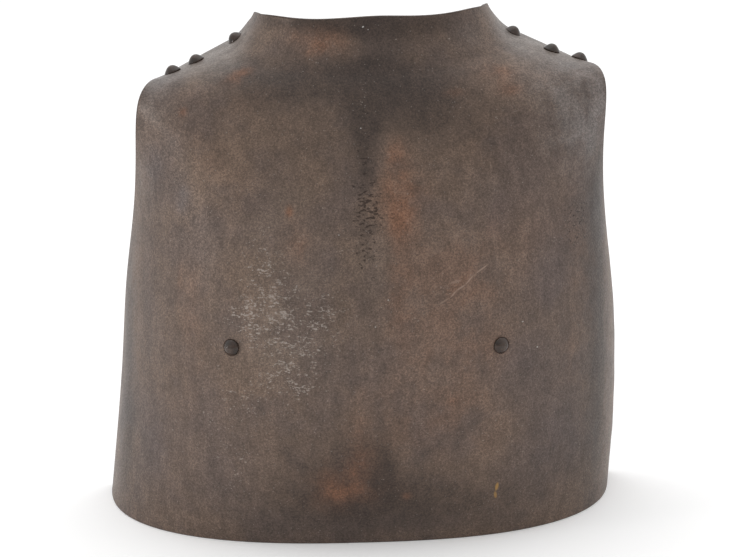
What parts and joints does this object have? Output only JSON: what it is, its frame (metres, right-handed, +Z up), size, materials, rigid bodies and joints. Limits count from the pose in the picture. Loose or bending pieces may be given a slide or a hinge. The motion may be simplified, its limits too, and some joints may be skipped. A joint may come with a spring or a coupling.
{
  "type": "cuirass breastplate",
  "caption": "Heavy one-piece iron breastplate of a cuirass, with an upright rolled-up collar, rolled shoulders, a soft ridge down the chest and pointed studs for its straps.",
  "frame": {"origin": "on the surface that the plate stands on, below the middle of its outline box", "axes": "+Z up, +Y towards the open back, +X to the right as seen from the front"},
  "size_m": [0.3928, 0.1718, 0.3794],
  "materials": {
    "browned_iron": "forged plate with a worn brown patina, fine pits, scratches and rust stains",
    "stud_iron": "dark brown-black, worn smooth and a little glossy"
  },
  "bodies": {
    "root": {"plate": "browned_iron", "stud_chest_left": "stud_iron", "stud_chest_right": "stud_iron", "stud_neck_left": "stud_iron", "stud_neck_right": "stud_iron", "stud_middle_left": "stud_iron", "stud_middle_right": "stud_iron", "stud_outer_left": "stud_iron", "stud_outer_right": "stud_iron"}
  },
  "joints": []
}
